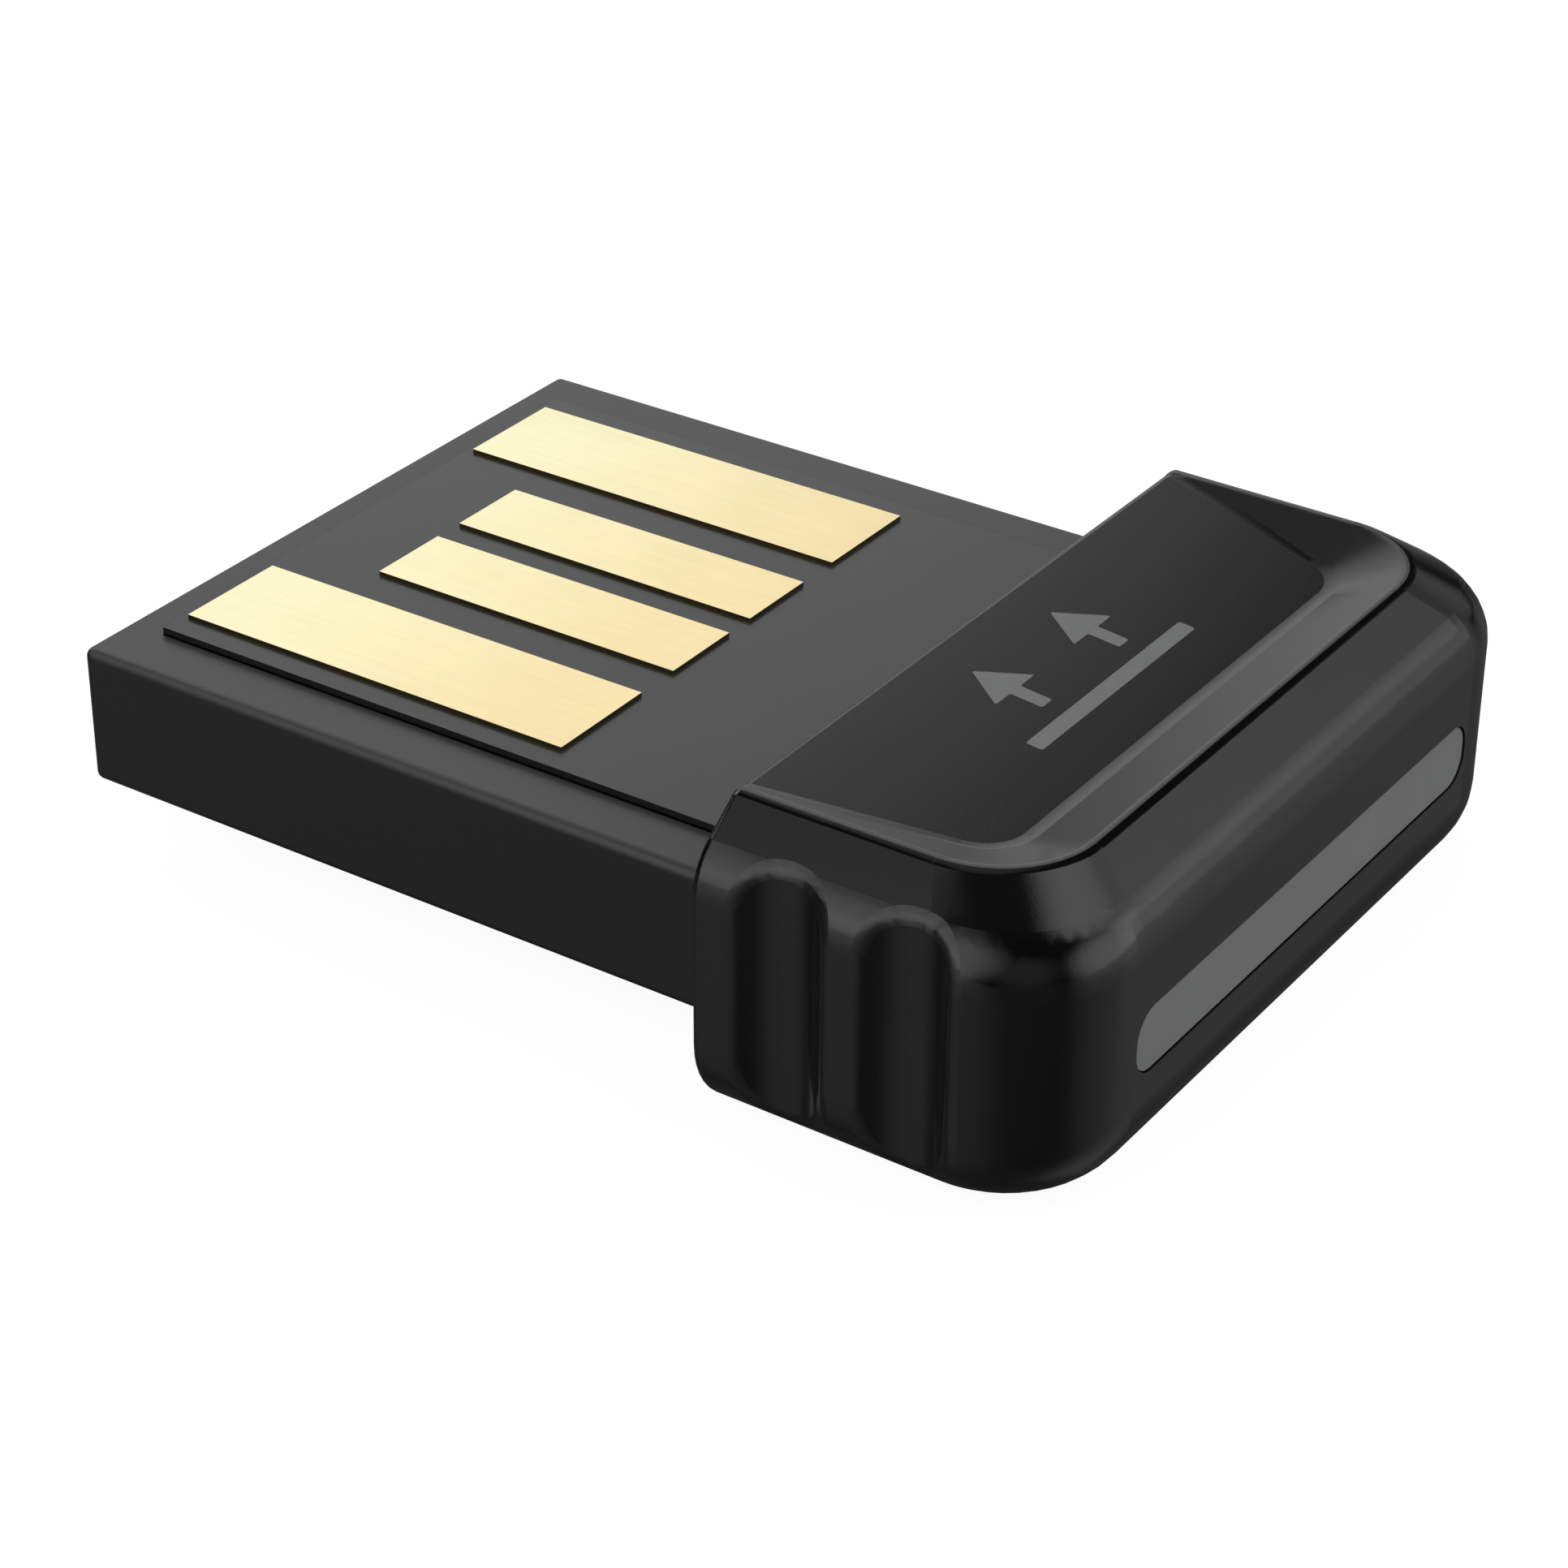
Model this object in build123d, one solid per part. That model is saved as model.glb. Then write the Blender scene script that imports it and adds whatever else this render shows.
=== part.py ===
from build123d import *
import os
from math import radians, tan

# A tiny radio adapter that plugs into a USB port.
# A flat plug tongue carries a circuit board whose front end is the contact face.
# The tongue's rear half sits in a short moulded head with a light strip across its end.
# Frame: X across the plug, +Y towards the plug's tip, +Z up, z = 0 at the head's flat underside.
# Y runs from minus to plus half of the overall length. All sizes are in millimetres.

# Plug tongue
plug_width = 11.9
plug_length = 11.9
plug_thickness = 2.28
plug_edge_round = 0.15
tip_lip_length = 0.71

# Head
head_width = 13.9
head_depth = 5.8
head_height = 4.9
head_corner_radius = 2.0
head_bottom_round = 1.3
head_front_edge_round = 0.12
head_end_wall = 0.9
head_floor = 1.03

# Shoulder between the head's walls and its crest
shoulder_inset = 1.0
shoulder_drop = 0.74
shoulder_round = 0.95
crest_corner_radius = 1.6

# Thumb scoop in the head's top
rim_width = 0.14
rim_round = 0.2
scoop_ramp = 0.10
scoop_wall_angle = 20.0
scoop_floor_round = 0.5
scoop_root_radius = 0.18

# Finger flutes in the head's sides
flute_width = 1.4
flute_depth = 0.34
flute_land = 0.6
flute_front_margin = 0.71
flute_edge_round = 0.3
flutes_per_side = 2

# Circuit board
board_thickness = 0.8
board_width = 9.84
board_proud = 0.12
board_guide_gap = 0.3

# Contacts on the board
contact_pitch_inner = 2.0
contact_pitch_outer = 7.0
contact_width_outer = 1.96
contact_width_inner = 1.45
contact_height = 0.06
contact_rear_from_tip = 7.9
contact_front_outer = 0.83
contact_front_inner = 2.31

# Well for the parts under the board
board_ledge = 0.72
well_floor = 0.5
well_front_from_tip = 1.7

# Fit between the tongue and the head, and their snap
fit_gap = 0.03
snap_height = 0.12
snap_length = 1.5
snap_from_front = 1.6
tail_corner_radius = 0.9

# Light strip and its guide
strip_length = 9.8
strip_height = 1.05
strip_rise = 0.09
strip_corner_radius = 0.45
strip_set_back = 0.03
strip_gap = 0.02
guide_flange_thickness = 0.45
guide_flange_overhang = 0.3
guide_nose_width = 2.0
guide_nose_height = 0.5
guide_nose_taper = 0.5
led_gap = 0.06

# Parts soldered under the board: length across X, length along Y, height
radio_chip_size = (4.0, 4.0, 0.6)
radio_chip_from_tip = 8.9
radio_chip_offset = -0.3
radio_chip_leads_per_side = 7
radio_chip_lead_width = 0.25
radio_chip_lead_length = 0.4
radio_chip_stand_off = 0.05
crystal_size = (1.2, 1.6, 0.45)
crystal_lid_inset = 0.12
crystal_lid_height = 0.25
regulator_body_size = (2.0, 1.25, 0.65)
regulator_lead_span = 2.1
regulator_lead_width = 0.25
regulator_lead_pitch = 0.65
regulator_lead_thickness = 0.12
inductor_size = (2.0, 1.6, 0.65)
inductor_corner_round = 0.2
antenna_size = (2.0, 1.2, 0.6)
surge_protector_size = (1.6, 1.6, 0.55)
surge_lead_width = 0.25
surge_lead_length = 0.18
surge_lead_pitch = 0.5
led_size = (1.6, 0.6, 0.6)
led_from_board_end = 0.05
led_lens_width = 1.1
led_lens_depth = 0.2
large_chip_size = (1.6, 0.8, 0.6)
small_chip_size = (1.0, 0.5, 0.5)
resistor_chip_size = (1.0, 0.5, 0.35)
terminal_share = 0.22
terminal_skin = 0.02
part_gap = 0.2
pair_spacing = 1.1

# Places that follow from the sizes above
tip_y = (plug_length + head_depth) / 2
head_front_y = tip_y - plug_length
head_end_y = -tip_y
plug_bottom_z = head_floor + fit_gap
rail_top_z = plug_bottom_z + plug_thickness
board_top_z = rail_top_z + board_proud
board_bottom_z = board_top_z - board_thickness
cavity_end_y = head_end_y + head_end_wall
guide_back_y = cavity_end_y + guide_flange_thickness
tail_end_y = guide_back_y + fit_gap
board_front_y = tip_y - tip_lip_length
board_end_y = guide_back_y + board_guide_gap
shoulder_foot_z = head_height - shoulder_drop
well_width = board_width - 2 * board_ledge
well_front_y = tip_y - well_front_from_tip
flute_radius = (flute_width**2 / 4 + flute_depth**2) / (2 * flute_depth)
guide_flange_length = plug_width - 2 * tail_corner_radius
strip_centre_z = plug_bottom_z + plug_thickness / 2 + strip_rise

# Rows and columns of the parts under the board, one gap apart
chip_x = radio_chip_offset
chip_y = tip_y - radio_chip_from_tip
chip_front_y = chip_y + radio_chip_size[1] / 2
chip_rear_y = chip_y - radio_chip_size[1] / 2
plug_row_y = well_front_y - part_gap - surge_protector_size[1] / 2
data_row_y = plug_row_y - (surge_protector_size[1] + resistor_chip_size[0]) / 2 - part_gap
regulator_x = part_gap + (regulator_body_size[0] - well_width) / 2
regulator_y = chip_front_y + part_gap + regulator_lead_span / 2
output_x = (well_width - large_chip_size[0]) / 2 - part_gap
output_y = chip_front_y + part_gap + large_chip_size[1] / 2
inductor_x = (well_width - inductor_size[0]) / 2 - part_gap
inductor_y = output_y + part_gap + (large_chip_size[1] + inductor_size[1]) / 2
crystal_x = chip_x + part_gap + (radio_chip_size[0] + crystal_size[0]) / 2
crystal_row_step = part_gap + (crystal_size[1] + small_chip_size[1]) / 2
left_column_x = chip_x - part_gap - (radio_chip_size[0] + small_chip_size[1]) / 2
left_column_step = small_chip_size[0] + part_gap
matching_row_y = chip_rear_y - part_gap - small_chip_size[0] / 2
antenna_x = part_gap + (led_size[0] + antenna_size[0]) / 2
antenna_y = board_end_y + part_gap + antenna_size[1] / 2
light_resistor_x = -part_gap - (led_size[0] + resistor_chip_size[0]) / 2
light_resistor_y = board_end_y + part_gap + resistor_chip_size[1] / 2

# Chip parts that share a size: X, Y and the angle of their length from the X axis
large_capacitor_places = {
    "input_capacitor": (-output_x, plug_row_y, 0),
    "output_capacitor": (output_x, output_y, 0),
}
bead_places = {
    "supply_bead": (output_x, plug_row_y, 0),
}
small_capacitor_places = {
    "crystal_capacitor_front": (crystal_x, chip_y + crystal_row_step, 0),
    "crystal_capacitor_rear": (crystal_x, chip_y - crystal_row_step, 0),
    "chip_capacitor_front": (left_column_x, chip_y + left_column_step / 2, 90),
    "chip_capacitor_rear": (left_column_x, chip_y - left_column_step / 2, 90),
    "antenna_capacitor": (chip_x - pair_spacing / 2, matching_row_y, 90),
}
matching_coil_places = {
    "antenna_coil": (chip_x + pair_spacing / 2, matching_row_y, 90),
}
resistor_places = {
    "data_resistor_minus": (-pair_spacing / 2, data_row_y, 90),
    "data_resistor_plus": (pair_spacing / 2, data_row_y, 90),
    "light_resistor": (light_resistor_x, light_resistor_y, 0),
    "bias_resistor": (left_column_x, chip_y - 3 * left_column_step / 2, 90),
}


def rounded_end_outline(half_width, front_y, rear_y, corner_radius, height):
    """Plan outline that is square towards the plug and rounded at the light end."""
    outline = Pos(0, (front_y + rear_y) / 2, height) * Rectangle(2 * half_width, front_y - rear_y)
    rear_corners = outline.vertices().group_by(Axis.Y)[0]
    return fillet(rear_corners, corner_radius)


def ring_edges(solid, height):
    """Edges that lie flat at one height, without the one across the front face."""
    tolerance = 0.001
    return solid.edges().filter_by(
        lambda edge: abs(edge.center().Z - height) < tolerance
        and edge.bounding_box().size.Z < tolerance
        and edge.center().Y < head_front_y - tolerance
    )


def head_block():
    """Solid outer form: straight walls, sloping shoulder, rounded lower edge."""
    half_width = head_width / 2
    wall_outline = rounded_end_outline(half_width, head_front_y, head_end_y, head_corner_radius, 0)
    walls = extrude(wall_outline, amount=shoulder_foot_z)
    shoulder_outline = rounded_end_outline(
        half_width, head_front_y, head_end_y, head_corner_radius, shoulder_foot_z
    )
    crest_outline = rounded_end_outline(
        half_width - shoulder_inset, head_front_y, head_end_y + shoulder_inset, crest_corner_radius, head_height
    )
    shoulder = loft([shoulder_outline.face(), crest_outline.face()], ruled=True)
    block = walls + shoulder
    block = fillet(ring_edges(block, shoulder_foot_z), shoulder_round)
    return fillet(ring_edges(block, 0), head_bottom_round)


def thumb_scoop():
    """Hollow that ramps down from the plug side and is closed by shallow sloping walls."""
    overrun = 1.0
    depth = scoop_ramp * head_depth
    wall_run = depth / tan(radians(scoop_wall_angle))
    half_width = head_width / 2 - shoulder_inset - rim_width
    rear_y = head_end_y + shoulder_inset + rim_width
    mouth_radius = crest_corner_radius - rim_width
    front_y = head_front_y + overrun
    mouth = rounded_end_outline(half_width, front_y, rear_y, mouth_radius, head_height)
    root = rounded_end_outline(
        half_width - wall_run, front_y, rear_y + wall_run, scoop_root_radius, head_height - depth
    )
    pocket = loft([mouth.face(), root.face()], ruled=True)
    ramp = Plane(origin=(0, head_front_y, head_height), x_dir=(1, 0, 0), z_dir=(0, -scoop_ramp, 1))
    above_ramp = ramp * Box(
        2 * head_width, 4 * head_depth, head_height, align=(Align.CENTER, Align.CENTER, Align.MIN)
    )
    return pocket & above_ramp


def scooped_block():
    """Outer form with the thumb scoop cut, its floor blended in, and its rim and front rounded."""
    block = head_block() - thumb_scoop()
    ramp_normal = Vector(0, -scoop_ramp, 1).normalized()
    flat_faces = block.faces().filter_by(GeomType.PLANE)
    ramp_face = flat_faces.filter_by(lambda face: face.normal_at().get_angle(ramp_normal) < 0.1)[0]
    ramp_foot = ramp_face.edges().sort_by(Axis.Y)[:-1]
    block = fillet(ramp_foot, scoop_floor_round)
    block = fillet(ring_edges(block, head_height), rim_round)
    front_face = block.faces().sort_by(Axis.Y)[-1]
    return fillet(front_face.outer_wire().edges(), head_front_edge_round)


def flute_cutters():
    """Upright rounds that cut the flutes through the shoulder, the walls and the lower edge."""
    pitch = flute_width + flute_land
    cutters = []
    for side in (-1, 1):
        for index in range(flutes_per_side):
            centre_x = side * (head_width / 2 - flute_depth + flute_radius)
            centre_y = head_front_y - flute_front_margin - flute_width / 2 - index * pitch
            cutters.append(
                Pos(centre_x, centre_y, 0)
                * Cylinder(flute_radius, head_height, align=(Align.CENTER, Align.CENTER, Align.MIN))
            )
    return cutters


def fluted_block():
    """Scooped block with its finger flutes, rounded where they meet the walls and the shoulder."""
    block = scooped_block()
    cutters = flute_cutters()
    fluted = block
    for cutter in cutters:
        fluted -= cutter
    rims = new_edges(block, *cutters, combined=fluted)
    return fillet(rims, flute_edge_round)


def strip_outline(length, height, corner_radius, y):
    """Rounded bar outline in the plane of the head's end wall."""
    wall_plane = Plane(origin=(0, y, strip_centre_z), x_dir=(1, 0, 0), z_dir=(0, -1, 0))
    return wall_plane * RectangleRounded(length, height, corner_radius)


def snap_bar(side, swell):
    """Half-round ridge on the tongue's side, or its groove in the head when swollen."""
    chord = 4 * snap_height
    radius = (chord**2 / 4 + snap_height**2) / (2 * snap_height) + swell
    centre_x = side * (plug_width / 2 + snap_height + swell - radius)
    centre_z = plug_bottom_z + plug_thickness / 2
    return Pos(centre_x, head_front_y - snap_from_front, centre_z) * Cylinder(
        radius, snap_length + 2 * swell
    )


def tongue_section(gap, front_y, rear_y):
    """Block with the tongue's cross-section and rounded rear corners."""
    corner_radius = tail_corner_radius + gap
    outline = rounded_end_outline(
        plug_width / 2 + gap, front_y, rear_y - gap, corner_radius, plug_bottom_z - gap
    )
    return extrude(outline, amount=plug_thickness + 2 * gap)


def head_cap():
    """Moulded cap: fluted block less the tongue's cavity and the light slot."""
    cap = fluted_block()
    overrun = 1.0
    cavity = tongue_section(fit_gap, head_front_y + overrun, cavity_end_y + fit_gap)
    board_relief = Pos(0, head_front_y + overrun, rail_top_z) * Box(
        board_width + 2 * fit_gap,
        head_front_y + overrun - cavity_end_y,
        board_proud + fit_gap,
        align=(Align.CENTER, Align.MAX, Align.MIN),
    )
    slot = extrude(
        strip_outline(strip_length, strip_height, strip_corner_radius, cavity_end_y + overrun),
        amount=head_end_wall + 2 * overrun,
    )
    cap = cap - cavity - board_relief - slot
    for side in (-1, 1):
        cap -= snap_bar(side, fit_gap)
    return cap


def plug_carrier():
    """Moulded tray: plug tongue and tail in one piece, with the board's seat and the well."""
    tray = tongue_section(0, tip_y, tail_end_y)
    tip_edges = tray.faces().sort_by(Axis.Y)[-1].edges()
    side_edges = tray.edges().filter_by(Axis.Y)
    tray = fillet(tip_edges + side_edges, plug_edge_round)
    overrun = 1.0
    seat = Pos(0, board_front_y, board_bottom_z) * Box(
        board_width + 2 * fit_gap,
        board_front_y - tail_end_y + overrun,
        board_thickness,
        align=(Align.CENTER, Align.MAX, Align.MIN),
    )
    well_bottom_z = plug_bottom_z + well_floor
    well = Pos(0, well_front_y, well_bottom_z) * Box(
        well_width,
        well_front_y - tail_end_y + overrun,
        board_bottom_z - well_bottom_z + board_thickness,
        align=(Align.CENTER, Align.MAX, Align.MIN),
    )
    tray = tray - seat - well
    for side in (-1, 1):
        tray += snap_bar(side, 0)
    return tray


def circuit_board():
    """Plain board, from the lip behind the plug's tip to just short of the light guide."""
    return Pos(0, board_front_y, board_bottom_z) * Box(
        board_width,
        board_front_y - board_end_y,
        board_thickness,
        align=(Align.CENTER, Align.MAX, Align.MIN),
    )


def contact(centre_x, width, front_from_tip):
    """Raised gold-plated pad on the board's top."""
    return Pos(centre_x, tip_y - front_from_tip, board_top_z) * Box(
        width,
        contact_rear_from_tip - front_from_tip,
        contact_height,
        align=(Align.CENTER, Align.MAX, Align.MIN),
    )


def light_guide():
    """Strip seen in the end wall, a flange that holds it from inside, and a nose to the light."""
    strip_face_y = head_end_y + strip_set_back
    strip = extrude(
        strip_outline(
            strip_length - 2 * strip_gap,
            strip_height - 2 * strip_gap,
            strip_corner_radius - strip_gap,
            cavity_end_y,
        ),
        amount=cavity_end_y - strip_face_y,
    )
    flange = extrude(
        strip_outline(
            guide_flange_length,
            strip_height + 2 * guide_flange_overhang,
            strip_corner_radius,
            guide_back_y,
        ),
        amount=guide_flange_thickness,
    )
    nose_plane = Plane(
        origin=(0, guide_back_y, led_centre_z()), x_dir=(1, 0, 0), z_dir=(0, 1, 0)
    )
    nose_root = nose_plane * Rectangle(guide_nose_width, guide_nose_height)
    nose_length = led_face_y() - led_gap - guide_back_y
    nose_tip = nose_plane.offset(nose_length) * Rectangle(
        guide_nose_width - guide_nose_taper, guide_nose_height
    )
    nose = loft([nose_root.face(), nose_tip.face()], ruled=True)
    return strip + flange + nose


def led_face_y():
    """Light-giving face of the side-looking light, just inside the board's end."""
    return board_end_y + led_from_board_end


def led_centre_z():
    """Height of the light's centre, as it hangs under the board."""
    return board_bottom_z - led_size[2] / 2


def under_board(place, size, angle=0):
    """Box of a soldered part, hanging from the board's underside."""
    x, y = place
    return Pos(x, y, board_bottom_z) * Rot(0, 0, angle) * Box(
        *size, align=(Align.CENTER, Align.CENTER, Align.MAX)
    )


def status_led():
    """Side-looking light: body with a domed lens towards the guide."""
    width, depth, height = led_size
    centre_y = led_face_y() + led_lens_depth + (depth - led_lens_depth) / 2
    body = under_board((0, centre_y), (width, depth - led_lens_depth, height))
    lens_radius = (led_lens_width**2 / 4 + led_lens_depth**2) / (2 * led_lens_depth)
    lens_height = height / 2
    lens = Pos(0, led_face_y() + lens_radius, led_centre_z()) * Cylinder(lens_radius, lens_height)
    return body + (lens & under_board((0, led_face_y() + depth / 2), (width, depth, height)))


def radio_chip():
    """Flat leadless chip: moulded body with rows of pads along its four sides."""
    width, depth, height = radio_chip_size
    body = Pos(chip_x, chip_y, board_bottom_z - radio_chip_stand_off) * Box(
        width, depth, height - radio_chip_stand_off, align=(Align.CENTER, Align.CENTER, Align.MAX)
    )
    chip = chamfer(body.edges().group_by(Axis.Z)[0], 2 * radio_chip_stand_off)
    side_lead = (radio_chip_lead_length, radio_chip_lead_width, radio_chip_stand_off)
    end_lead = (radio_chip_lead_width, radio_chip_lead_length, radio_chip_stand_off)
    side_x = (width - radio_chip_lead_length) / 2
    end_y = (depth - radio_chip_lead_length) / 2
    for index in range(radio_chip_leads_per_side):
        place = (index - (radio_chip_leads_per_side - 1) / 2) / radio_chip_leads_per_side
        along_x = place * (width - 2 * radio_chip_lead_length)
        along_y = place * (depth - 2 * radio_chip_lead_length)
        for side in (-1, 1):
            chip += under_board((chip_x + side * side_x, chip_y + along_y), side_lead)
            chip += under_board((chip_x + along_x, chip_y + side * end_y), end_lead)
    return chip


def timing_crystal():
    """Ceramic tray with a smaller metal lid."""
    width, depth, height = crystal_size
    tray = under_board((crystal_x, chip_y), (width, depth, height - crystal_lid_height))
    lid = Pos(crystal_x, chip_y, board_bottom_z - height + crystal_lid_height) * Box(
        width - 2 * crystal_lid_inset,
        depth - 2 * crystal_lid_inset,
        crystal_lid_height,
        align=(Align.CENTER, Align.CENTER, Align.MAX),
    )
    return tray + fillet(lid.edges().filter_by(Axis.Z), crystal_lid_inset)


def supply_regulator():
    """Small moulded package with three leads on one side and two on the other."""
    width, depth, height = regulator_body_size
    stand_off = regulator_lead_thickness
    body = Pos(regulator_x, regulator_y, board_bottom_z - stand_off) * Box(
        width, depth, height - stand_off, align=(Align.CENTER, Align.CENTER, Align.MAX)
    )
    package = chamfer(body.edges().group_by(Axis.Z)[0], stand_off)
    lead_length = (regulator_lead_span - depth) / 2
    lead_root_z = board_bottom_z - height / 2
    for side, steps in ((-1, (-1, 0, 1)), (1, (-1, 1))):
        for step in steps:
            lead_x = regulator_x + step * regulator_lead_pitch
            lead_y = regulator_y + side * (depth + lead_length) / 2
            foot = under_board((lead_x, lead_y), (regulator_lead_width, lead_length, stand_off))
            neck = Pos(lead_x, regulator_y + side * depth / 2, board_bottom_z) * Box(
                regulator_lead_width,
                2 * stand_off,
                board_bottom_z - lead_root_z,
                align=(Align.CENTER, Align.CENTER, Align.MAX),
            )
            package += foot + neck
    return package


def power_inductor():
    """Moulded choke with rounded corners."""
    body = under_board((inductor_x, inductor_y), inductor_size)
    return fillet(body.edges().filter_by(Axis.Z), inductor_corner_round)


def chip_part(place, size):
    """Two-ended chip part: a body between two slightly larger metal end caps."""
    x, y, angle = place
    length, width, height = size
    cap_length = length * terminal_share
    body = Box(
        length - 2 * terminal_skin,
        width - 2 * terminal_skin,
        height - 2 * terminal_skin,
    )
    part = body
    for side in (-1, 1):
        part += Pos(side * (length - cap_length) / 2, 0, 0) * Box(cap_length, width, height)
    return Pos(x, y, board_bottom_z - height / 2) * Rot(0, 0, angle) * part


def chip_antenna():
    """Ceramic block that radiates from the board's corner, with a metal cap at each end."""
    return chip_part((antenna_x, antenna_y, 0), antenna_size)


def surge_protector():
    """Small package across the data lines, with three leads on two sides."""
    width, depth, height = surge_protector_size
    package = under_board((0, plug_row_y), (width - 2 * surge_lead_length, depth, height))
    lead = (surge_lead_length, surge_lead_width, height / 4)
    for side in (-1, 1):
        for step in (-1, 0, 1):
            lead_x = side * (width - surge_lead_length) / 2
            package += under_board((lead_x, plug_row_y + step * surge_lead_pitch), lead)
    return package


def contacts():
    """The four pads in their standard order across the plug."""
    inner = contact_pitch_inner / 2
    outer = contact_pitch_outer / 2
    return {
        "contact_ground": contact(-outer, contact_width_outer, contact_front_outer),
        "contact_data_plus": contact(-inner, contact_width_inner, contact_front_inner),
        "contact_data_minus": contact(inner, contact_width_inner, contact_front_inner),
        "contact_power": contact(outer, contact_width_outer, contact_front_outer),
    }


def chip_parts():
    """All two-ended chip parts, by name."""
    groups = (
        (large_capacitor_places, large_chip_size),
        (bead_places, large_chip_size),
        (small_capacitor_places, small_chip_size),
        (matching_coil_places, small_chip_size),
        (resistor_places, resistor_chip_size),
    )
    return {
        name: chip_part(place, size) for places, size in groups for name, place in places.items()
    }


def all_nodes():
    """Every separate piece of the adapter, by name."""
    nodes = {
        "head_cap": head_cap(),
        "plug_carrier": plug_carrier(),
        "circuit_board": circuit_board(),
        "light_guide": light_guide(),
        "status_led": status_led(),
        "radio_chip": radio_chip(),
        "timing_crystal": timing_crystal(),
        "supply_regulator": supply_regulator(),
        "power_inductor": power_inductor(),
        "chip_antenna": chip_antenna(),
        "surge_protector": surge_protector(),
    }
    nodes.update(contacts())
    nodes.update(chip_parts())
    return nodes


os.makedirs("parts", exist_ok=True)
for node_name, node_solid in all_nodes().items():
    export_step(node_solid, f"parts/{node_name}.step")
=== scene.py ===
import math

import bmesh
import bpy
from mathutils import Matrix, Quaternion, Vector


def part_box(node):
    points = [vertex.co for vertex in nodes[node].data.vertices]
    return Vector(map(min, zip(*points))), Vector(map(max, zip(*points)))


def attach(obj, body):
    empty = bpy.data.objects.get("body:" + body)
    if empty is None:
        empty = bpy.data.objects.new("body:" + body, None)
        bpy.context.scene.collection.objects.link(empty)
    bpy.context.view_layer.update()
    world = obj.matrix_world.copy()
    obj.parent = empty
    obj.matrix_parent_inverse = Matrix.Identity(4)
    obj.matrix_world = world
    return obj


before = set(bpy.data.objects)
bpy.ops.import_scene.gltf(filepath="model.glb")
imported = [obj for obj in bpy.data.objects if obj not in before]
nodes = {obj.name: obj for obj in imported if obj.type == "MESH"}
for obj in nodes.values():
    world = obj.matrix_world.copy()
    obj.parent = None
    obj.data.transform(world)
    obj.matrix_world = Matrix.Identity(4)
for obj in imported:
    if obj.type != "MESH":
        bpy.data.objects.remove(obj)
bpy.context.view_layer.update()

# Looks of a tiny radio adapter: gloss black head, satin grey plug, pale gold contacts, milky strip.
# Row frame in metres: X across the plug, +Y towards the plug's tip, +Z up.
# Patterns, the printed sign and the camera are laid out in millimetres.

MM = 0.001


# Writing finishes


class Signal:
    """An output socket that is written into formulas like a number."""

    def __init__(self, finish, socket):
        self.finish = finish
        self.socket = socket

    def _math(self, operation, first, second):
        return self.finish.node("ShaderNodeMath", {"operation": operation}, {0: first, 1: second})

    def __add__(self, other):
        return self._math("ADD", self, other)

    def __radd__(self, other):
        return self._math("ADD", other, self)

    def __sub__(self, other):
        return self._math("SUBTRACT", self, other)

    def __rsub__(self, other):
        return self._math("SUBTRACT", other, self)

    def __mul__(self, other):
        return self._math("MULTIPLY", self, other)

    def __rmul__(self, other):
        return self._math("MULTIPLY", other, self)

    def __abs__(self):
        return self._math("ABSOLUTE", self, 0.0)


class Formula:
    """An empty node tree, filled by formulas."""

    def __init__(self, owner):
        owner.use_nodes = True
        self.tree = owner.node_tree
        self.tree.nodes.clear()

    def node(self, kind, settings=None, sockets=None, output=0):
        """Adds a node: its settings first, then the values or links of its sockets."""
        made = self.tree.nodes.new(kind)
        for key, value in (settings or {}).items():
            setattr(made, key, value)
        for key, value in (sockets or {}).items():
            if isinstance(value, Signal):
                self.tree.links.new(value.socket, made.inputs[key])
            else:
                made.inputs[key].default_value = value
        return Signal(self, made.outputs[output])

    def parts_of(self, vector):
        split = self.tree.nodes.new("ShaderNodeSeparateXYZ")
        self.tree.links.new(vector.socket, split.inputs[0])
        return [Signal(self, split.outputs[axis]) for axis in "XYZ"]

    def step(self, value, start, end):
        """0 before start, 1 after end, smooth between them."""
        return self.node(
            "ShaderNodeMapRange",
            {"interpolation_type": "SMOOTHSTEP"},
            {"Value": value, "From Min": start, "From Max": end},
        )


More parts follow.
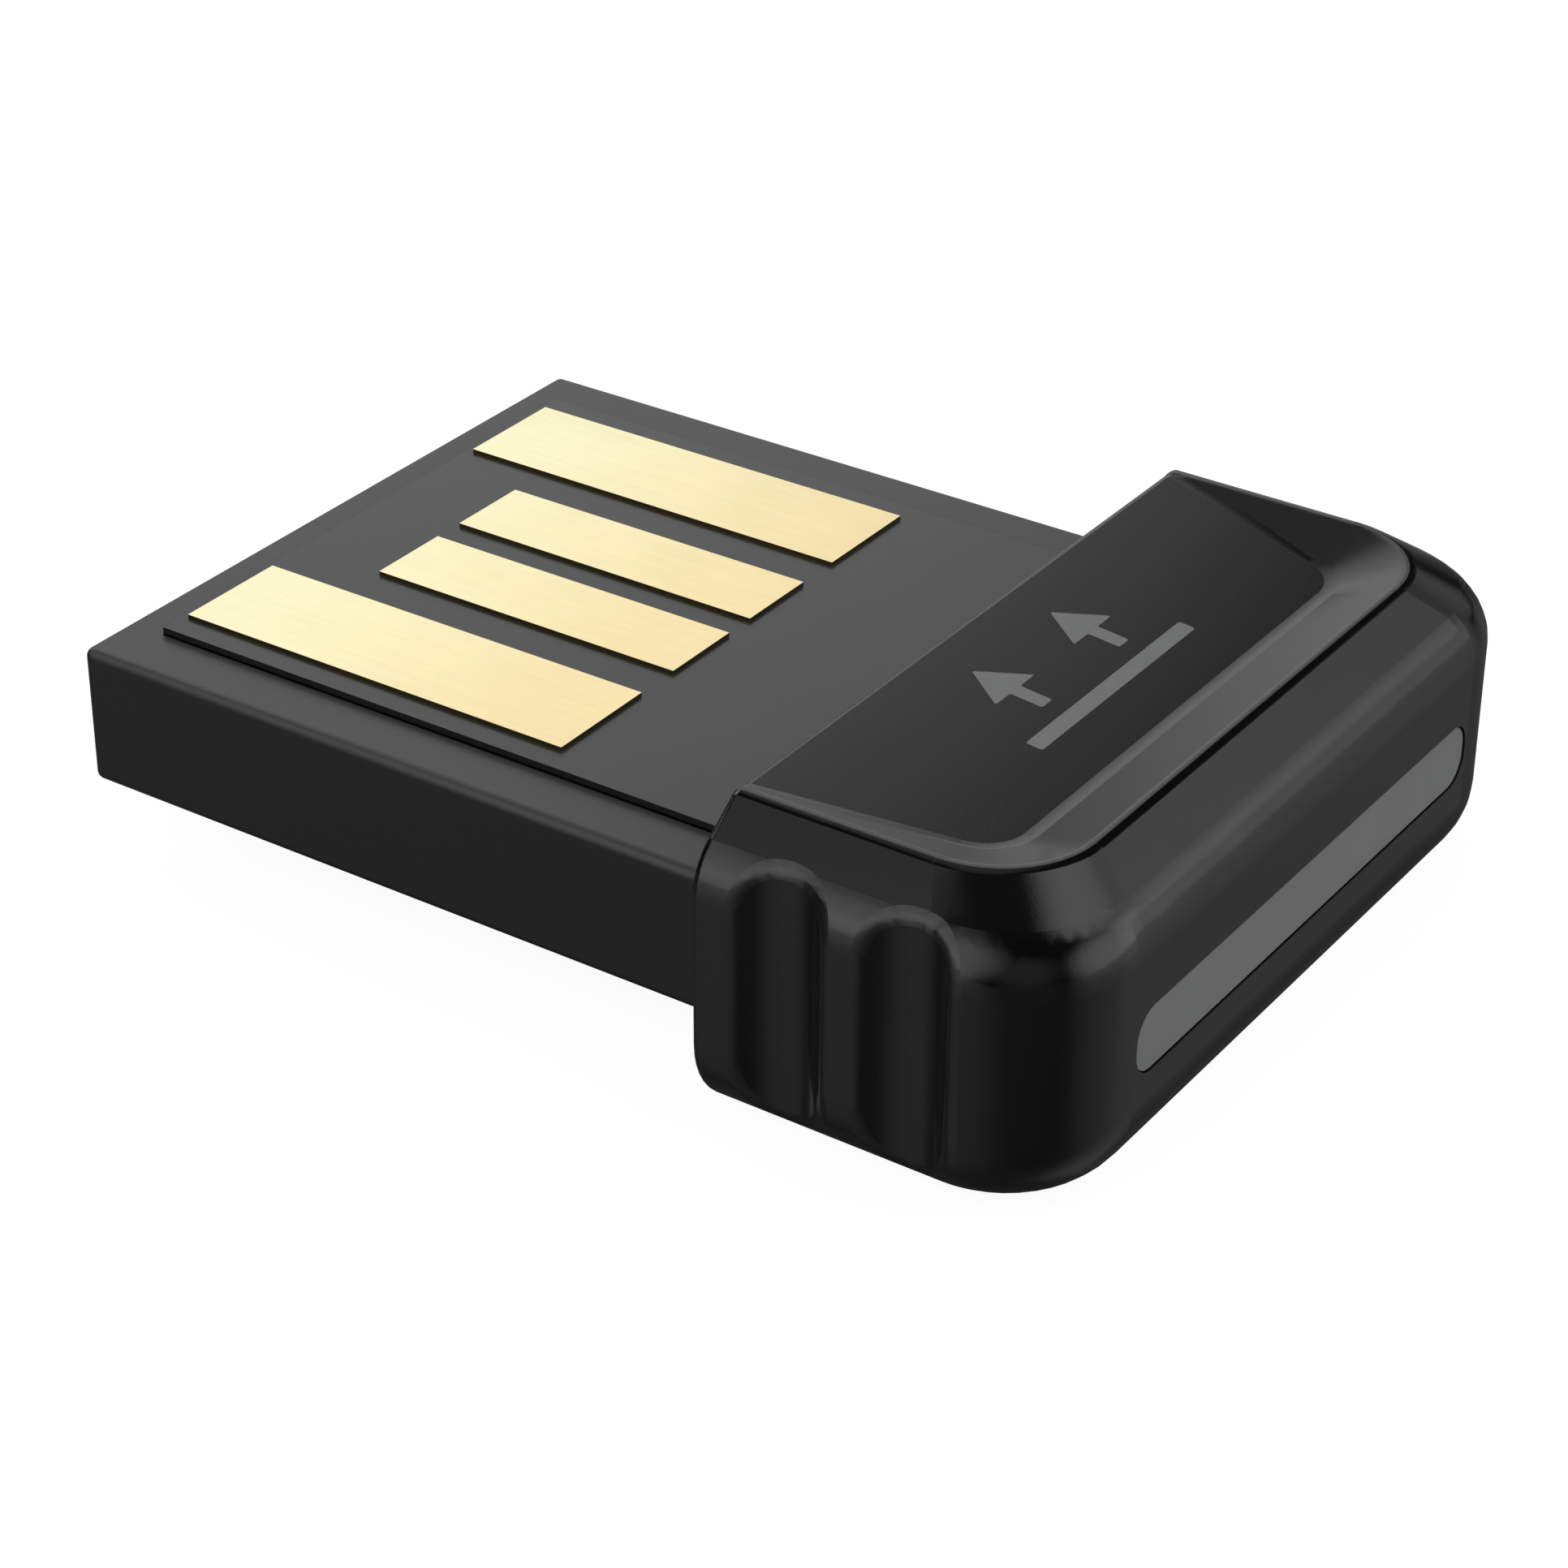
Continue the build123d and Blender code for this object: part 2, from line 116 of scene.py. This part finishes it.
class Finish(Formula):
    """One material, written as formulas over the part's own millimetres."""

    def __init__(self, name):
        self.material = bpy.data.materials.new(name)
        super().__init__(self.material)
        here = self.node("ShaderNodeTexCoord", output="Object")
        self.place = self.node(
            "ShaderNodeVectorMath", {"operation": "SCALE"}, {0: here, "Scale": 1 / MM}
        )
        self.x, self.y, self.z = self.parts_of(self.place)

    def facing(self):
        """The surface's own direction, as three numbers."""
        return self.parts_of(self.node("ShaderNodeNewGeometry", output="Normal"))

    def stretched(self, across, along, up):
        """The part's millimetres, scaled on each axis, for grain that runs one way."""
        scales = (across, along, up)
        return self.node(
            "ShaderNodeVectorMath", {"operation": "MULTIPLY"}, {0: self.place, 1: scales}
        )

    def grain(self, per_mm, detail=2.0, roughness=0.5, place=None):
        """Cloudy pattern from 0 to 1, with that many features in a millimetre."""
        sockets = {"Scale": per_mm, "Detail": detail, "Roughness": roughness}
        return self.node(
            "ShaderNodeTexNoise",
            {"noise_dimensions": "3D"},
            {"Vector": place or self.place, **sockets},
        )

    def weave(self, direction, per_mm):
        """Even waves from 0 to 1 along one direction."""
        return self.node(
            "ShaderNodeTexWave",
            {"wave_type": "BANDS", "bands_direction": direction, "wave_profile": "SIN"},
            {"Vector": self.place, "Scale": per_mm, "Distortion": 0.0, "Detail": 0.0},
        )

    def blend(self, share, first, second):
        """Colour that goes from first to second as share goes from 0 to 1."""
        colours = {
            key: colour if isinstance(colour, Signal) else (*colour, 1.0)
            for key, colour in ((6, first), (7, second))
        }
        return self.node("ShaderNodeMix", {"data_type": "RGBA"}, {0: share, **colours}, output=2)

    def bump(self, height, depth, strength):
        """Relief of that depth in millimetres."""
        sockets = {"Height": height, "Distance": depth * MM, "Strength": strength}
        return self.node("ShaderNodeBump", None, sockets)

    def surface(self, **sockets):
        """Ends the material in one shader."""
        named = {}
        for key, value in sockets.items():
            if key in ("base_color", "emission_color") and not isinstance(value, Signal):
                value = (*value, 1.0)
            named[key.replace("_", " ").title().replace("Ior", "IOR")] = value
        shader = self.node("ShaderNodeBsdfPrincipled", None, named)
        output = self.tree.nodes.new("ShaderNodeOutputMaterial")
        self.tree.links.new(shader.socket, output.inputs["Surface"])
        return self.material


def towards(azimuth, elevation):
    """Direction by its angle round from +Y to +X and its height above the floor, in degrees."""
    turn, rise = math.radians(azimuth), math.radians(elevation)
    flat = math.cos(rise)
    return Vector((math.sin(turn) * flat, math.cos(turn) * flat, math.sin(rise)))


def grey(srgb):
    """Linear value of an 8-bit screen grey."""
    share = srgb / 255
    return share / 12.92 if share <= 0.04045 else ((share + 0.055) / 1.055) ** 2.4


def tone(red, green, blue):
    """Linear colour of an 8-bit screen colour."""
    return (grey(red), grey(green), grey(blue))


# Finishes, with places and depths in millimetres


def gloss_cap():
    """Moulded gloss black: fine tool grain, slow flow marks, faintly rubbed in patches."""
    f = Finish("gloss black moulding")
    flow = f.grain(per_mm=0.35, detail=3.0, place=f.stretched(1.0, 0.4, 1.0))
    pores = f.grain(per_mm=26.0)
    rub = f.step(f.grain(per_mm=1.1, detail=4.0, roughness=0.6), start=0.48, end=0.72)
    return f.surface(
        base_color=f.blend(flow, tone(4, 5, 5), tone(8, 9, 9)),
        roughness=0.10 + flow * 0.03 + rub * 0.03 + pores * 0.02,
        specular_ior_level=0.5,
        normal=f.bump(pores, depth=0.0012, strength=0.5),
    )


def satin_tongue():
    """Moulded satin black with painted light: the face that meets the port is painted light grey
    and the sides painted darker as shade.
    """
    f = Finish("satin black moulding")
    up = f.facing()[2]
    face = f.step(up, start=0.35, end=0.85)
    cloud = f.grain(per_mm=0.6, detail=3.0)
    pores = f.grain(per_mm=22.0)
    # Painted light and shade: faces turned up get a light grey and the sides a darker black, by how
    # light falls on them.
    painted_shade_sides = f.blend(cloud, tone(10, 11, 11), tone(14, 15, 15))
    top = f.blend(cloud, tone(56, 58, 57), tone(62, 64, 63))
    return f.surface(
        base_color=f.blend(face, painted_shade_sides, top),
        roughness=0.30 + cloud * 0.06 + pores * 0.04,
        specular_ior_level=0.45,
        normal=f.bump(pores, depth=0.002, strength=0.6),
    )


def board_lacquer():
    """Black solder lacquer over a glass weave that barely shows, with a bare dark edge."""
    f = Finish("board lacquer")
    up = abs(f.facing()[2])
    face = f.step(up, start=0.5, end=0.9)
    cloud = f.grain(per_mm=0.5, detail=3.0)
    weave = f.weave("X", per_mm=0.65) * f.weave("Y", per_mm=0.65)
    lacquer = f.blend(cloud * 0.7 + weave * 0.3, tone(34, 37, 36), tone(40, 43, 42))
    sheets = f.grain(per_mm=6.0, detail=1.0, place=f.stretched(0.2, 0.2, 4.0))
    layers = f.step(sheets, start=0.4, end=0.6)
    edge = f.blend(layers, tone(8, 8, 8), tone(14, 13, 12))
    return f.surface(
        base_color=f.blend(face, edge, lacquer),
        roughness=0.14 + face * (0.10 + cloud * 0.06),
        specular_ior_level=0.5,
        normal=f.bump(f.grain(per_mm=20.0), depth=0.001, strength=0.3),
    )


CONTACT_COOL_Y = 8.0
CONTACT_WARM_Y = 0.9


def contact_gold():
    """Pale gold plate, warmer towards the head, with wipe marks along the plug; its side faces are
    painted dark brown as shade.
    """
    f = Finish("pale gold plate")
    face = f.step(f.facing()[2], start=0.4, end=0.9)
    warmth = f.step(f.y, start=CONTACT_COOL_Y, end=CONTACT_WARM_Y)
    wipe = f.grain(per_mm=9.0, detail=3.0, roughness=0.6, place=f.stretched(1.0, 0.06, 1.0))
    stain = f.grain(per_mm=0.8, detail=3.0)
    plate = f.blend(warmth, (0.98, 0.94, 0.60), (0.98, 0.81, 0.44))
    gold = f.blend(stain * 0.16, plate, (0.93, 0.74, 0.40))
    # Painted shade: the side faces of each contact get a dark brown in place of gold.
    painted_shade_edges = f.blend(stain, tone(78, 68, 44), tone(98, 86, 56))
    return f.surface(
        base_color=f.blend(face, painted_shade_edges, gold),
        metallic=1.0,
        roughness=0.19 + wipe * 0.08 + stain * 0.05,
        normal=f.bump(wipe, depth=0.0006, strength=0.4),
    )


def milky_strip():
    """Light-scattering plastic, unlit and grey, a little cloudy."""
    f = Finish("milky light plastic")
    cloud = f.grain(per_mm=0.9, detail=3.0)
    return f.surface(
        base_color=f.blend(cloud, tone(134, 135, 135), tone(142, 143, 143)),
        roughness=0.46 + cloud * 0.06,
        specular_ior_level=0.35,
        normal=f.bump(f.grain(per_mm=20.0), depth=0.0015, strength=0.5),
    )


def printed_ink():
    """Grey ink of the printed sign, slightly uneven as pad printing is."""
    f = Finish("grey printed ink")
    mottle = f.grain(per_mm=7.0, detail=3.0)
    return f.surface(
        base_color=f.blend(mottle, tone(124, 125, 125), tone(138, 139, 139)),
        roughness=0.50 + mottle * 0.1,
        specular_ior_level=0.3,
        normal=f.bump(mottle, depth=0.001, strength=0.4),
    )


METAL_EDGE_BLUR = 0.01
TERMINAL_SHARE = 0.22


def chip_case(name, dark, light, metal_above=None):
    """Moulded or fired case of a soldered part; above that height it is tinned lead."""
    f = Finish(name)
    speck = f.grain(per_mm=18.0, detail=3.0, roughness=0.6)
    case = f.blend(speck, dark, light)
    sockets = {"base_color": case, "roughness": 0.55 + speck * 0.15, "metallic": 0.0}
    if metal_above is not None:
        lead = f.step(f.z, start=metal_above - METAL_EDGE_BLUR, end=metal_above + METAL_EDGE_BLUR)
        sockets["base_color"] = f.blend(lead, case, tone(196, 197, 199))
        sockets["roughness"] = (0.55 + speck * 0.15) * (1 - lead) + 0.30 * lead
        sockets["metallic"] = lead
    return f.surface(normal=f.bump(speck, depth=0.003, strength=0.6), **sockets)


def two_ended(name, node, dark, light):
    """Body of a chip part between its two tinned ends, along the longer of its sides."""
    low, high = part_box(node)
    centre, size = (low + high) / 2 / MM, (high - low) / MM
    axis = 0 if size.x > size.y else 1
    f = Finish(name)
    along = abs((f.x, f.y)[axis] - centre[axis])
    edge = size[axis] * (0.5 - TERMINAL_SHARE)
    tin = f.step(along, start=edge - METAL_EDGE_BLUR, end=edge + METAL_EDGE_BLUR)
    speck = f.grain(per_mm=16.0, detail=3.0, roughness=0.6)
    return f.surface(
        base_color=f.blend(tin, f.blend(speck, dark, light), tone(198, 199, 201)),
        metallic=tin,
        roughness=(0.5 + speck * 0.15) * (1 - tin) + tin * (0.25 + speck * 0.2),
        normal=f.bump(speck, depth=0.003, strength=0.6),
    )


def dress(node, material):
    """Gives a CAD node its finish."""
    for entry in nodes[node].material_slots:
        entry.material = material


CHIP_LEAD_HEIGHT = 0.05
REGULATOR_LEAD_HEIGHT = 0.12


def dress_everything():
    """Gives all the CAD nodes their finishes."""
    dress("head_cap", gloss_cap())
    dress("plug_carrier", satin_tongue())
    dress("circuit_board", board_lacquer())
    dress("light_guide", milky_strip())
    gold = contact_gold()
    for name in ("ground", "data_plus", "data_minus", "power"):
        dress(f"contact_{name}", gold)
    board_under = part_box("circuit_board")[0].z / MM
    black_case = tone(24, 24, 26), tone(34, 34, 36)
    chip_leads = board_under - CHIP_LEAD_HEIGHT
    regulator_leads = board_under - REGULATOR_LEAD_HEIGHT
    dress("radio_chip", chip_case("chip package", *black_case, chip_leads))
    dress("supply_regulator", chip_case("regulator package", *black_case, regulator_leads))
    dress("surge_protector", chip_case("protector package", *black_case))
    dress("status_led", chip_case("light body", tone(226, 224, 214), tone(240, 238, 230)))
    dress("power_inductor", chip_case("choke ferrite", tone(58, 56, 56), tone(76, 74, 73)))
    dress("timing_crystal", chip_case("crystal can", tone(168, 168, 170), tone(196, 196, 198)))
    brown = tone(150, 118, 84), tone(170, 138, 102)
    white = tone(222, 222, 216), tone(238, 238, 232)
    black = tone(28, 28, 30), tone(40, 40, 42)
    bead = tone(92, 92, 96), tone(112, 112, 116)
    kinds = (
        (brown, ("input_capacitor", "output_capacitor")),
        (brown, ("crystal_capacitor_front", "crystal_capacitor_rear")),
        (brown, ("chip_capacitor_front", "chip_capacitor_rear", "antenna_capacitor")),
        (white, ("chip_antenna", "antenna_coil")),
        (black, ("data_resistor_minus", "data_resistor_plus")),
        (black, ("light_resistor", "bias_resistor")),
        (bead, ("supply_bead",)),
    )
    for (dark, light), names in kinds:
        for name in names:
            dress(name, two_ended(f"{name.replace('_', ' ')} body", name, dark, light))


# Printed sign, in millimetres

RAMP_SLOPE = 0.10
RAMP_EDGE_Y = -3.05
RAMP_EDGE_Z = 4.9
INK_THICKNESS = 0.012
INK_SINK = 0.006
STROKE = 0.27
SIGN_LEFT, SIGN_RIGHT = -2.3, 2.0
SIGN_REAR, SIGN_FRONT = -5.72, -3.9
ARROW_WIDTH = 1.05
ARROW_HEAD = 0.72
BAR_GAP = 0.3
CORNER = 0.05
CORNER_STEPS = 4


def ramp_height(y):
    """Height of the scoop's ramp, in millimetres."""
    return RAMP_EDGE_Z + RAMP_SLOPE * (y - RAMP_EDGE_Y)


def softened(outline):
    """Outline with each corner turned through a short arc."""
    soft = []
    count = len(outline)
    for index, corner in enumerate(outline):
        here = Vector(corner)
        before = (Vector(outline[index - 1]) - here).normalized()
        after = (Vector(outline[(index + 1) % count]) - here).normalized()
        for step in range(CORNER_STEPS + 1):
            share = step / CORNER_STEPS
            curve = before * (1 - share) ** 2 + after * share**2
            soft.append(here + curve * CORNER)
    return soft


def piece_from(name, sheet, finish):
    """Object made of a finished sheet of faces."""
    mesh = bpy.data.meshes.new(name)
    sheet.to_mesh(mesh)
    sheet.free()
    mesh.materials.append(finish)
    piece = bpy.data.objects.new(name, mesh)
    bpy.context.scene.collection.objects.link(piece)
    return piece


def ink_piece(name, outlines, ink):
    """Thin printed layer that lies on the ramp, as one closed mesh per outline."""
    sheet = bmesh.new()
    for outline in outlines:
        rims = []
        for lift in (-INK_SINK, INK_THICKNESS - INK_SINK):
            places = [(p.x * MM, p.y * MM, (ramp_height(p.y) + lift) * MM) for p in outline]
            rims.append([sheet.verts.new(place) for place in places])
        sheet.faces.new(list(reversed(rims[0])))
        sheet.faces.new(rims[1])
        low, high = rims
        for index in range(len(outline)):
            following = (index + 1) % len(outline)
            sheet.faces.new((low[index], low[following], high[following], high[index]))
    bmesh.ops.recalc_face_normals(sheet, faces=sheet.faces)
    bmesh.ops.triangulate(sheet, faces=[face for face in sheet.faces if len(face.verts) > 4])
    piece = piece_from(name, sheet, ink)
    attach(piece, "root")
    return piece


def insertion_sign():
    """Two arrows towards the plug over a bar: this side up."""
    bar = [
        (SIGN_LEFT, SIGN_REAR), (SIGN_RIGHT, SIGN_REAR),
        (SIGN_RIGHT, SIGN_REAR + STROKE), (SIGN_LEFT, SIGN_REAR + STROKE),
    ]
    outlines = [softened(bar)]
    foot = SIGN_REAR + STROKE + BAR_GAP
    neck = SIGN_FRONT - ARROW_HEAD
    middle = (SIGN_LEFT + SIGN_RIGHT) / 2
    spacing = (SIGN_RIGHT - SIGN_LEFT) / 4
    for side in (-1, 1):
        centre = middle + side * spacing
        half, shaft = ARROW_WIDTH / 2, STROKE / 2
        arrow = [
            (centre - shaft, foot), (centre + shaft, foot), (centre + shaft, neck),
            (centre + half, neck), (centre, SIGN_FRONT), (centre - half, neck),
            (centre - shaft, neck),
        ]
        outlines.append(softened(arrow))
    return ink_piece("insertion_sign", outlines, printed_ink())


# Studio, in metres

FLOOR_GLOW = 0.93
SWEEP_PROFILE = (
    (1.2, 0.0), (1.38, 0.03), (1.55, 0.12), (1.66, 0.26), (1.70, 0.45), (1.70, 1.6),
)
SWEEP_SIDES = 64
TABLE_HALF = 4.0
TABLE_DROP = 0.00005
CLOUD_PER_MM = 0.004


def floor_finish():
    """Plain white paper, lit from behind so that shadows on it stay faint."""
    f = Finish("white studio paper")
    cloud = f.grain(per_mm=CLOUD_PER_MM)
    return f.surface(
        base_color=f.blend(cloud, tone(120, 120, 120), tone(126, 126, 126)),
        roughness=0.8 + cloud * 0.05,
        specular_ior_level=0.0,
        emission_color=(1.0, 1.0, 1.0),
        emission_strength=FLOOR_GLOW,
    )


def studio_floor():
    """Floor that sweeps up into a wall all round; only the camera sees it."""
    sheet = bmesh.new()
    turns = [math.tau * side / SWEEP_SIDES for side in range(SWEEP_SIDES)]
    rings = [
        [sheet.verts.new((radius * math.cos(t), radius * math.sin(t), height)) for t in turns]
        for radius, height in SWEEP_PROFILE
    ]
    sheet.faces.new(rings[0])
    for inner, outer in zip(rings, rings[1:]):
        for side in range(SWEEP_SIDES):
            following = (side + 1) % SWEEP_SIDES
            sheet.faces.new((inner[side], outer[side], outer[following], inner[following]))
    floor = piece_from("studio_floor", sheet, floor_finish())
    floor.data.shade_smooth()
    floor.visible_glossy = False
    floor.visible_diffuse = False
    floor.visible_shadow = False


def table_grey():
    """Satin grey table top, which only the object's own reflections show."""
    f = Finish("satin grey table top")
    cloud = f.grain(per_mm=CLOUD_PER_MM)
    return f.surface(
        base_color=f.blend(cloud, tone(138, 138, 138), tone(144, 144, 144)),
        metallic=0.5,
        roughness=0.24 + cloud * 0.04,
        specular_ior_level=0.6,
    )


def studio_table():
    """Lies just under the white floor, unseen by the camera, and keeps light off from below."""
    sheet = bmesh.new()
    corners = ((-1, -1), (1, -1), (1, 1), (-1, 1))
    sheet.faces.new([
        sheet.verts.new((x * TABLE_HALF, y * TABLE_HALF, -TABLE_DROP)) for x, y in corners
    ])
    table = piece_from("studio_table", sheet, table_grey())
    table.visible_camera = False


# Soft lights far off: each one's azimuth (0 is +Y, 90 is +X), height and reach in degrees, and its
# brightness.
STUDIO_LIGHTS = {
    "back": (49, 26, 23, 1.35),
    "back horizon": (62, 2, 16, 0.8),
    "high back": (48, 58, 18, 0.4),
    "back corner": (16, 36, 22, 2.6),
    "high end": (142, 58, 22, 2.2),
    "end bevel": (127, 32, 21, 1.35),
    "end horizon": (131, 8, 23, 1.1),
    "far corner": (99, 17, 17, 0.45),
    "low end": (162, 14, 36, 2.1),
    "near side": (289, 31, 47, 1.9),
    "near horizon": (290, 4, 34, 0.6),
    "high near": (328, 56, 14, 0.12),
    "front corner": (225, 20, 30, 0.3),
    "overhead": (0, 88, 28, 0.05),
}
AIR_LEVEL = 0.035


def studio_light():
    """Soft lights far off, each brightest in its middle and gone at its reach."""
    world = bpy.data.worlds.new("studio air")
    f = Formula(world)
    direction = f.node("ShaderNodeTexCoord", output="Generated")
    brightness = AIR_LEVEL
    for azimuth, elevation, reach, peak in STUDIO_LIGHTS.values():
        nearness = f.node(
            "ShaderNodeVectorMath",
            {"operation": "DOT_PRODUCT"},
            {0: direction, 1: towards(azimuth, elevation)},
            output="Value",
        )
        brightness = f.step(nearness, math.cos(math.radians(reach)), 1.0) * peak + brightness
    glow = f.node("ShaderNodeBackground", None, {"Strength": brightness})
    output = f.tree.nodes.new("ShaderNodeOutputWorld")
    f.tree.links.new(glow.socket, output.inputs["Surface"])
    bpy.context.scene.world = world


# Camera, in millimetres and degrees

VIEW_AIM = (0.01, 0.13, 1.01)
VIEW_DISTANCE = 62.0
VIEW_AZIMUTH = 55.95
VIEW_DROP = 30.53
VIEW_ROLL = 0.35
SENSOR_WIDTH = 36.0
LENS_LENGTH = 92.85
NEAR_CLIP = 0.005
FAR_CLIP = 10.0


def photo_camera():
    """Camera at the photograph's place and lens."""
    data = bpy.data.cameras.new("photo camera")
    data.sensor_width = SENSOR_WIDTH
    data.lens = LENS_LENGTH
    data.clip_start, data.clip_end = NEAR_CLIP, FAR_CLIP
    camera = bpy.data.objects.new("photo camera", data)
    sight = towards(VIEW_AZIMUTH, -VIEW_DROP)
    roll = Quaternion((0, 0, 1), math.radians(VIEW_ROLL))
    camera.rotation_mode = "QUATERNION"
    camera.rotation_quaternion = sight.to_track_quat("-Z", "Y") @ roll
    camera.location = (Vector(VIEW_AIM) - sight * VIEW_DISTANCE) * MM
    bpy.context.scene.collection.objects.link(camera)
    bpy.context.scene.camera = camera


dress_everything()
insertion_sign()
studio_floor()
studio_table()
studio_light()
photo_camera()
bpy.context.scene.view_settings.view_transform = "Standard"
